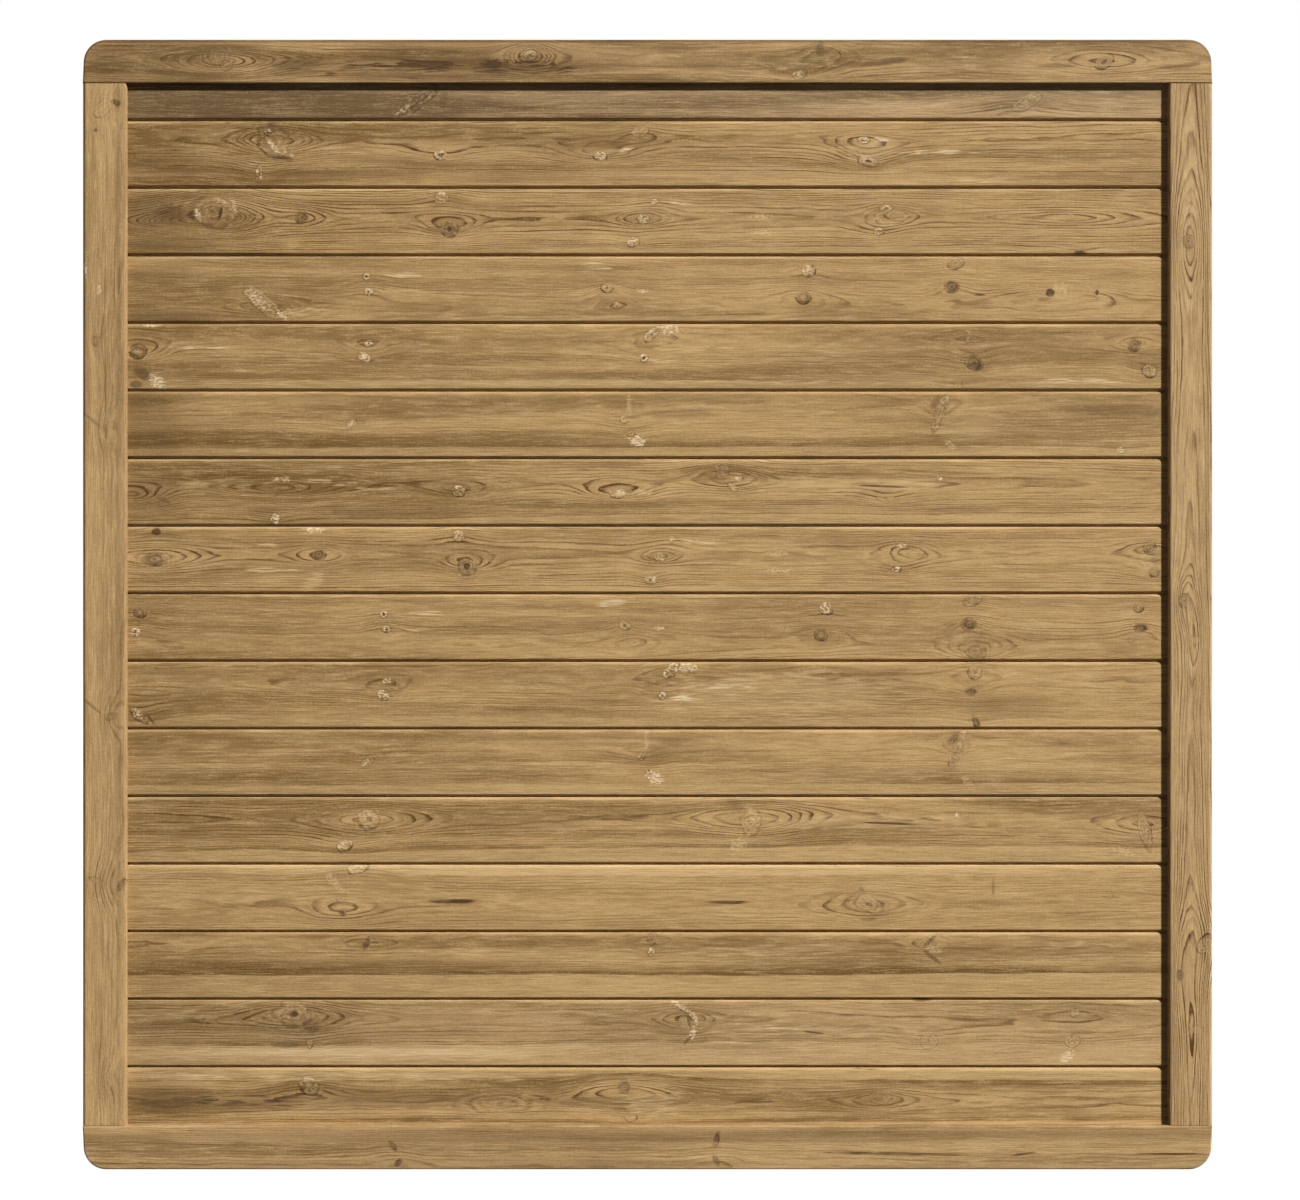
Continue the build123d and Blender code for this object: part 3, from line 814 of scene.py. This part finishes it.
def add_smears(g, timber, node, place, gaps, dark, pale):
    """Runs through a piece's smears and returns the dark and the pale that they leave."""
    for mark in timber.marks:
        if isinstance(mark, Smear):
            inputs = placed(mark, node) | {"Place": place, "Dark": dark, "Pale": pale}
            inputs |= {"Gaps": gaps[mark.chips]}
            inputs |= {"Darken": mark.dark, "Lighten": mark.pale, "Broken": mark.broken}
            made = g.node("ShaderNodeGroup", inputs, node_tree=bpy.data.node_groups["smear"])
            dark, pale = made.outputs
    return dark, pale


def empty_material(name):
    """A new material, and the graph of its empty node tree."""
    material = bpy.data.materials.new(name)
    material.use_nodes = True
    material.node_tree.nodes.clear()
    return material, Graph(material.node_tree)


def front_of(node):
    """The place of a piece's front face, in mm from its middle."""
    low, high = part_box(node)
    return (low[1] - high[1]) / 2 / MM


def ring_radius(g, timber, node, place, swell):
    """Distance from the pith, as the rings see it: bent, wavering and pushed out by the knots."""
    front = front_of(node)
    along, across, deep = g.parts(place)
    aside = g.add(across, -timber.pith[0])
    behind = g.math("SUBTRACT", g.multiply_add(along, timber.drift * MM, timber.pith[1] + front), deep)
    radius = g.math("SQRT", g.add(g.multiply(aside, aside), g.multiply(behind, behind)))
    bend = g.waver(place, BEND, 1.0, timber.seed + 0.6)
    wander = g.waver(place, WANDER, 2.0, timber.seed + 0.8)
    radius = g.multiply_add(bend, 2 * timber.warp, radius)
    radius = g.multiply_add(wander, 4.5, radius)
    return g.math("SUBTRACT", radius, swell)


def ring_lines(g, timber, place, radius, swell, calm):
    """Dark latewood lines, each with a strength of its own, that come and go along the grain."""
    inputs = {"W": g.multiply(radius, 0.06), "Scale": 1.0, "Detail": 1.0}
    uneven = g.node("ShaderNodeTexNoise", inputs, noise_dimensions="1D").outputs["Fac"]
    phase = g.multiply(g.multiply_add(uneven, 7.0, radius), 1.6 / timber.ring)
    part = g.math("FRACT", phase)
    line = g.multiply(g.step(part, 0.5, 0.92), g.step(part, 1.0, 0.94))
    number = g.math("FLOOR", phase)
    each = g.node("ShaderNodeTexWhiteNoise", {"W": number}, noise_dimensions="1D").outputs["Value"]
    breaks = g.noise(place, BREAKS, 2.0, timber.seed + 1.1)
    weight = g.multiply(g.step(each, 0.0, 1.0, 0.3, 1.0), g.step(breaks, 0.34, 0.66, 0.3, 1.0))
    weight = g.multiply(weight, g.step(swell, 0.5, 7.0, timber.lines, 1.7 * timber.lines))
    weight = g.multiply(weight, g.step(g.parts(place)[0], -HALF_LENGTH, 0.0, 1.5, 1.05))
    line = g.multiply(line, weight)
    return g.multiply(line, g.step(calm, 0.0, 1.0, 1.0, 0.25))


def outline_darkening(g):
    """Darkened arrises all round the panel's outline, front and back, which fade towards its foot."""
    x, deep, z = from_middle(g, (0.0, 0.0, (PANEL_LOW.z + PANEL_HIGH.z) / 2))
    straight = PANEL_HIGH.x / MM - CORNER_RADIUS
    beyond_x = g.add(g.math("ABSOLUTE", x), -straight)
    beyond_z = g.add(g.math("ABSOLUTE", z), -straight)
    round_x = g.math("MAXIMUM", beyond_x, 0.0)
    round_z = g.math("MAXIMUM", beyond_z, 0.0)
    reach = g.math("SQRT", g.add(g.multiply(round_x, round_x), g.multiply(round_z, round_z)))
    inner = g.math("MINIMUM", g.math("MAXIMUM", beyond_x, beyond_z), 0.0)
    near = g.step(g.add(reach, inner), *(CORNER_RADIUS - inset for inset in OUTLINE_DARKENING))
    near = g.multiply(near, g.step(beyond_z, -12.0, 10.0, 0.35, 1.0))
    near = g.multiply(near, g.step(z, -HALF_LENGTH, HALF_LENGTH))
    return g.multiply(near, g.step(g.math("ABSOLUTE", deep), *OUTER_FACES))


def half_height(node):
    low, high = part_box(node)
    return (high[2] - low[2]) / 2 / MM


def joint_grime(g, timber, node, across):
    """Painted shade and dirt along a piece's lower and upper edges, where it meets the next one."""
    half = half_height(node)
    below = g.step(across, *(inset - half for inset in JOINT_DIRT_AND_SHADE))
    above = g.step(across, *(half - inset for inset in JOINT_DIRT_AND_SHADE))
    return g.multiply_add(below, timber.grime[0], g.multiply(above, timber.grime[1]))


def back_joints(g, node, across, deep):
    """Dirt in the tight joints between the boards, which show on the back."""
    half = half_height(node)
    below = g.step(across, *(inset - half for inset in BACK_JOINT_DIRT))
    above = g.step(across, *(half - TONGUE_HEIGHT - inset for inset in BACK_JOINT_DIRT))
    return g.multiply(g.multiply(g.math("MAXIMUM", below, above), g.step(deep, *BOARD_BACK)), 0.75)


def cast_over(g, timber, node, along, radius, flow, streak):
    """Where a piece is sapwood, and how far the stain and the heart's dark edge tint it."""
    sap_across = seen_at(0, timber.sap_row, node)[1]
    heart = math.hypot(sap_across - timber.pith[0], timber.pith[1])
    inside = g.math("SUBTRACT", ALL_HEART if math.isnan(heart) else heart, radius)
    sapwood = g.step(inside, 1.2, -1.2)
    band = g.multiply(g.math("EXPONENT", g.multiply(g.math("MAXIMUM", inside, 0.0), -0.085)), timber.band)
    band = g.multiply(band, g.step(sapwood, 1.0, 0.0))
    cast = g.step(g.noise(flow, CLOUD, 3.0, timber.seed + 1.5), 0.36, 0.64, -0.75, 0.75)
    cast = g.multiply(cast, timber.stain)
    cast = g.multiply_add(band, g.step(streak, 0.25, 0.6, 0.5, 1.0), cast)
    cast = g.multiply(cast, g.step(sapwood, 0.0, 1.0, 1.0, 0.3))
    left, middle, right = timber.tone
    cast = g.add(cast, g.step(along, -HALF_LENGTH, 0.0, left, middle))
    cast = g.add(cast, g.step(along, 0.0, HALF_LENGTH, 0.0, right - middle))
    return sapwood, g.math("MAXIMUM", g.math("MINIMUM", cast, MOST_STAINED), 0.0)


def grain_light(g, timber, wood, place, noises):
    """How much lighter or darker the fibres, pores and planer ripples make the wood."""
    fine, streak, speck, relief = noises
    pores = g.noise(place, PORES, 0.0, timber.seed + 3.3)
    sway = g.noise(place, SWAY, 1.0, timber.seed + 1.9)
    ripples = g.multiply(g.multiply_add(sway, 9.0, g.parts(place)[0]), math.tau / PLANER_PITCH)
    light = g.multiply(g.add(fine, -0.5), wood.fibre * 3.2)
    for noise, weight in ((streak, 1.5), (pores, 0.9), (speck, 1.1), (relief, 1.2)):
        light = g.multiply_add(g.add(noise, -0.5), wood.fibre * weight, light)
    light = g.multiply_add(g.math("SINE", ripples), g.step(streak, 0.35, 0.6, 0.022, 0.003), light)
    return g.multiply_add(g.add(sway, -0.5), 0.24, light)


def wood_material(node, timber, wood):
    """Solid timber: rings round a pith that runs beside the piece, pushed aside by its knots."""
    material, g = empty_material(f"wood_{node}")
    seed = timber.seed
    place = place_on(g, node)
    speck = g.noise(place, SPECK, 1.0, seed + 3.0)
    chips = g.step(speck, 0.40, 0.60, -0.3, 1.0)
    sums = add_knots(g, timber, node, place, chips)
    radius = ring_radius(g, timber, node, place, sums["Swell"])
    along, across, deep = g.parts(place)
    flow = g.join(along, radius, across)
    fine = g.noise(flow, FINE, 3.0, seed)
    streak = g.noise(flow, STREAK, 2.0, seed + 0.2)
    relief = g.noise(place, RELIEF, 2.0, seed + 2.5)
    gaps = {False: g.step(fine, 0.60, 0.44), True: g.step(speck, 0.62, 0.38)}
    dark, pale = add_smears(g, timber, node, place, gaps, sums["Dark"], sums["Pale"])
    line = ring_lines(g, timber, place, radius, sums["Swell"], sums["Calm"])
    sapwood, cast = cast_over(g, timber, node, along, radius, flow, streak)
    light = grain_light(g, timber, wood, place, (fine, streak, speck, relief))

    early, sap = (Vector(c).lerp(wood.faded, timber.fade) for c in (wood.early, wood.sap))
    stain = Vector(wood.stain).lerp(0.35 * Vector(wood.faded), timber.fade)
    colour = g.mix(line, (*early, 1), (*wood.late, 1))
    colour = g.mix(g.multiply(sapwood, 0.55), colour, (*sap, 1))
    colour = g.mix(cast, colour, (*stain, 1))
    colour = g.mix(g.math("MULTIPLY", light, 1.15, clamp=True), colour, (*wood.bright, 1))
    colour = g.mix(g.math("MULTIPLY", light, -1.0, clamp=True), colour, (*wood.knot, 1))
    pale = g.multiply_add(g.step(relief, 0.64, 0.8), 0.3, pale)
    torn = g.mix(g.step(pale, 0.25, 0.7), (*wood.bright, 1), (*wood.pale, 1))
    colour = g.mix(g.math("MINIMUM", pale, MOST_PALE), colour, torn)
    dark = g.multiply(dark, g.step(streak, 0.3, 0.6, 0.85, 1.05))
    if node in BOARDS:
        # A painted highlight along each board's top rounding, just under the seam, broken up along the grain
        arris_highlight = g.multiply(g.step(across, *ARRIS_HIGHLIGHT), g.step(streak, 0.35, 0.65, 0.0, 0.2))
        colour = g.mix(arris_highlight, colour, (*wood.bright, 1))
        # Lighter wood from 1.5 to 11 mm behind the front, inside the joints: painted light that lifts the
        # shade in the seams
        behind = g.add(deep, -front_of(node))
        inside = g.multiply(g.step(behind, 1.5, 4.0), g.step(behind, 11.0, 9.0))
        colour = g.mix(g.multiply(inside, 0.55), colour, (*wood.bright, 1))
        dark = g.add(dark, back_joints(g, node, across, deep))
        # Painted shade and dirt at the left ends of the boards, beside the left stile
        dark = g.add(dark, g.step(along, *LEFT_END_DIRT_AND_SHADE, 0.0, 0.08))
    else:
        # The outline's arrises made darker, most along the top, fading towards the foot
        dark = g.multiply_add(outline_darkening(g), 0.55, dark)
        # Painted shade and dirt along the rails' edges where they meet the boards
        dark = g.add(dark, joint_grime(g, timber, node, across))
    # The dark sum holds real knots, stains and dirt, the painted shade of the joints, the boards' left ends
    # and the knots' lower sides, and the outline's darkening
    dark = g.math("MINIMUM", g.math("MAXIMUM", dark, 0.0), MOST_DARK)
    colour = g.mix(dark, colour, (*wood.knot, 1))

    bump = g.node("ShaderNodeBump", {"Height": relief, "Distance": wood.relief, "Strength": 0.8})
    surface = g.node("ShaderNodeBsdfPrincipled", {
        "Base Color": colour,
        "Roughness": g.multiply_add(fine, 0.16, wood.roughness - 0.08),
        "Specular IOR Level": 0.2,
        "Normal": bump.outputs[0],
    })
    g.node("ShaderNodeOutputMaterial", {"Surface": surface.outputs[0]})
    return material


def zinc_material():
    """Dull zinc plating with faint blotches and a few darker specks."""
    material, g = empty_material("zinc_plated_steel")
    coordinates = g.node("ShaderNodeTexCoord").outputs["Object"]
    place = g.node("ShaderNodeVectorMath", {0: coordinates, "Scale": 1 / MM}, operation="SCALE").outputs[0]
    cloud = g.noise(place, (2.5, 2.5, 2.5), 3.0)
    speck = g.step(g.noise(place, (0.6, 0.6, 0.6), 2.0, 3.0), 0.62, 0.72)
    colour = g.mix(cloud, (*shade(176, 172, 158), 1), (*shade(146, 143, 136), 1))
    colour = g.mix(g.multiply(speck, 0.5), colour, (*shade(92, 86, 76), 1))
    surface = g.node("ShaderNodeBsdfPrincipled", {
        "Base Color": colour,
        "Metallic": 0.9,
        "Roughness": g.multiply_add(cloud, 0.25, 0.3),
    })
    g.node("ShaderNodeOutputMaterial", {"Surface": surface.outputs[0]})
    return material


def dress(node, material):
    """Gives a piece of the frame its finish."""
    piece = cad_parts[node]
    for slot in piece.material_slots:
        slot.material = material


def finish_timber(nodes, wood):
    """Gives each of these pieces its own wood."""
    if "knot" not in bpy.data.node_groups:
        knot_group()
        smear_group()
    for node in nodes:
        dress(node, wood_material(node, TIMBER[node], wood))


class FENCE_OT_finish_boards(bpy.types.Operator):
    """Give each board its own grain, knots and stain"""

    bl_idname = "fence.finish_boards"
    bl_label = "Finish the Boards"

    def execute(self, context):
        finish_timber(BOARDS, context.scene.fence_wood)
        return {"FINISHED"}


class FENCE_OT_finish_frame(bpy.types.Operator):
    """Give the rails and stiles their grain, knots and splits"""

    bl_idname = "fence.finish_frame"
    bl_label = "Finish the Frame"

    def execute(self, context):
        finish_timber(RAILS + UPRIGHTS, context.scene.fence_wood)
        return {"FINISHED"}


class FENCE_OT_finish_screws(bpy.types.Operator):
    """Give the corner screws their dull zinc plating"""

    bl_idname = "fence.finish_screws"
    bl_label = "Finish the Screws"

    def execute(self, context):
        dress("corner_screws", zinc_material())
        return {"FINISHED"}


def sun(name, direction, strength, angle):
    """A distant lamp that shines along a direction."""
    bpy.ops.object.light_add(type="SUN", location=-4 * Vector(direction))
    lamp = bpy.context.object
    lamp.name = name
    lamp.rotation_euler = Vector(direction).to_track_quat("-Z", "Y").to_euler()
    lamp.data.energy = strength
    lamp.data.angle = angle


def set_world(fill):
    """Even light from all round, with a white background."""
    world = bpy.context.scene.world or bpy.data.worlds.new("studio")
    bpy.context.scene.world = world
    world.use_nodes = True
    world.node_tree.nodes.clear()
    g = Graph(world.node_tree)
    path = g.node("ShaderNodeLightPath").outputs
    seen = g.math("MAXIMUM", path["Is Camera Ray"], path["Is Glossy Ray"])
    seen = g.math("MAXIMUM", seen, path["Is Transmission Ray"])
    strength = g.step(seen, 0.0, 1.0, fill, 1.0)
    background = g.node("ShaderNodeBackground", {"Color": (1, 1, 1, 1), "Strength": strength})
    g.node("ShaderNodeOutputWorld", {"Surface": background.outputs[0]})


def floor_material():
    """A floor that is white by its own light where it is seen, so that hardly any shadow shows on it."""
    material, g = empty_material("studio_floor")
    path = g.node("ShaderNodeLightPath").outputs
    lit = g.node("ShaderNodeBsdfDiffuse", {"Color": (0.08, 0.08, 0.08, 1)})
    own = g.multiply(path["Is Camera Ray"], 0.955)
    glow = g.node("ShaderNodeEmission", {"Color": (1, 1, 1, 1), "Strength": own})
    both = g.node("ShaderNodeAddShader", {0: lit.outputs[0], 1: glow.outputs[0]})
    g.node("ShaderNodeOutputMaterial", {"Surface": both.outputs[0]})
    return material


class FENCE_OT_set_stage(bpy.types.Operator):
    """Set the floor, the lamps, the background and the camera"""

    bl_idname = "fence.set_stage"
    bl_label = "Set the Stage"

    def execute(self, context):
        stage = context.scene.fence_stage
        bpy.ops.object.select_all(action="DESELECT")
        bpy.ops.mesh.primitive_plane_add(size=60, location=(0, 0, PANEL_LOW.z))
        floor = context.object
        floor.name = "studio_floor"
        floor.data.materials.append(floor_material())
        sun("key_lamp", (-stage.key_across, 1.0, -stage.key_down), stage.key_strength, stage.key_size)
        sun("back_lamp", (0.7, -1.0, -0.8), stage.key_strength * 0.8, math.radians(20))
        set_world(stage.fill)

        front = PANEL_LOW.y
        frame_width = PHOTO_WIDTH * METRES_PER_PIXEL
        x = (PHOTO_WIDTH / 2 - PANEL_MIDDLE_PX) * METRES_PER_PIXEL
        z = (PANEL_FOOT_PX - PHOTO_HEIGHT / 2) * METRES_PER_PIXEL
        bpy.ops.object.camera_add(location=(x, front - stage.distance, z), rotation=(math.pi / 2, 0, 0))
        camera = context.object
        camera.name = "camera"
        camera.data.sensor_width = 36
        camera.data.lens = 36 * stage.distance / frame_width
        context.scene.camera = camera
        context.scene.view_settings.view_transform = "Standard"
        return {"FINISHED"}


class FENCE_PT_panel(bpy.types.Panel):
    """Lists the steps and their settings"""

    bl_idname = "FENCE_PT_panel"
    bl_label = "Fence Panel"
    bl_space_type = "VIEW_3D"
    bl_region_type = "UI"
    bl_category = "Fence"

    def draw(self, context):
        for group in (context.scene.fence_wood, context.scene.fence_stage):
            for name in group.bl_rna.properties.keys():
                if name not in ("rna_type", "name"):
                    self.layout.prop(group, name)
        for operator in OPERATORS:
            self.layout.operator(operator.bl_idname)


OPERATORS = (FENCE_OT_finish_boards, FENCE_OT_finish_frame, FENCE_OT_finish_screws, FENCE_OT_set_stage)
CLASSES = (FenceWood, FenceStage, *OPERATORS, FENCE_PT_panel)


def register():
    for cls in CLASSES:
        bpy.utils.register_class(cls)
    bpy.types.Scene.fence_wood = PointerProperty(type=FenceWood)
    bpy.types.Scene.fence_stage = PointerProperty(type=FenceStage)


def unregister():
    del bpy.types.Scene.fence_stage
    del bpy.types.Scene.fence_wood
    for cls in reversed(CLASSES):
        bpy.utils.unregister_class(cls)


def main():
    register()
    bpy.ops.fence.finish_boards()
    bpy.ops.fence.finish_frame()
    bpy.ops.fence.finish_screws()
    bpy.ops.fence.set_stage()


if __name__ == "__main__":
    main()
